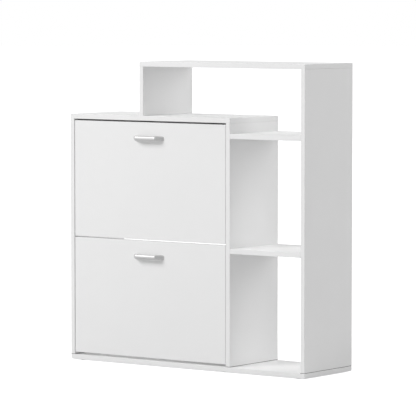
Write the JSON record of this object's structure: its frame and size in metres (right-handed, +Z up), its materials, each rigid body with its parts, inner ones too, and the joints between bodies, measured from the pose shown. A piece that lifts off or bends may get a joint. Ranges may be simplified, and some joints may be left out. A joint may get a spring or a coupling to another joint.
{
  "type": "shoe cabinet",
  "caption": "White shoe cabinet with tilting flap compartments beside open shelves, and a raised bridge shelf over its top.",
  "frame": {"origin": "on the floor, at the middle of the whole object's width and depth, handles counted", "axes": "+X to the right as seen from the front, +Y to the back, +Z up"},
  "size_m": [0.934, 0.289, 0.983],
  "materials": {
    "white_board": "white melamine coated chipboard, fine satin grain",
    "white_door": "white foil coated board, smooth satin",
    "white_hardboard": "white lacquered hardboard",
    "white_plastic": "white moulded nylon, matte",
    "glide_plastic": "pale moulded plastic",
    "satin_metal": "satin nickel plated",
    "zinc_fitting": "zinc plated",
    "beech_dowel": "bare fluted beech"
  },
  "bodies": {
    "carcass": {"base_panel": "white_board", "left_side_panel": "white_board", "partition_panel": "white_board", "right_side_panel": "white_board", "cabinet_top_panel": "white_board", "bridge_upright": "white_board", "bridge_top_panel": "white_board", "lower_shelf": "white_board", "upper_shelf": "white_board", "back_rail": "white_board", "cam_discs": "zinc_fitting", "cam_bolts": "zinc_fitting", "cam_caps": "white_plastic", "dowels": "beech_dowel", "confirmat_screws": "zinc_fitting", "glides": "glide_plastic", "hinge_bushes": "white_plastic", "stop_studs": "zinc_fitting"},
    "lower_flap": {"lower_door_panel": "white_door", "lower_handle": "satin_metal", "lower_handle_screws": "zinc_fitting", "lower_pivot_pins": "zinc_fitting", "lower_left_cheek": "white_plastic", "lower_right_cheek": "white_plastic", "lower_cheek_screws": "zinc_fitting", "lower_front_pocket_floor": "white_hardboard", "lower_pocket_divider": "white_hardboard", "lower_rear_pocket_floor": "white_hardboard", "lower_rear_pocket_back": "white_hardboard"},
    "upper_flap": {"upper_door_panel": "white_door", "upper_handle": "satin_metal", "upper_handle_screws": "zinc_fitting", "upper_pivot_pins": "zinc_fitting", "upper_left_cheek": "white_plastic", "upper_right_cheek": "white_plastic", "upper_cheek_screws": "zinc_fitting", "upper_front_pocket_floor": "white_hardboard", "upper_pocket_divider": "white_hardboard", "upper_rear_pocket_floor": "white_hardboard", "upper_rear_pocket_back": "white_hardboard"}
  },
  "joints": [
    {"name": "lower_flap_tilt", "type": "hinge", "parent": "carcass", "child": "lower_flap", "pos_m": [-0.144, -0.1115, 0.041], "axis": [1, 0, 0], "range_deg": [0, 48]},
    {"name": "upper_flap_tilt", "type": "hinge", "parent": "carcass", "child": "upper_flap", "pos_m": [-0.144, -0.1115, 0.423], "axis": [1, 0, 0], "range_deg": [0, 48]}
  ]
}
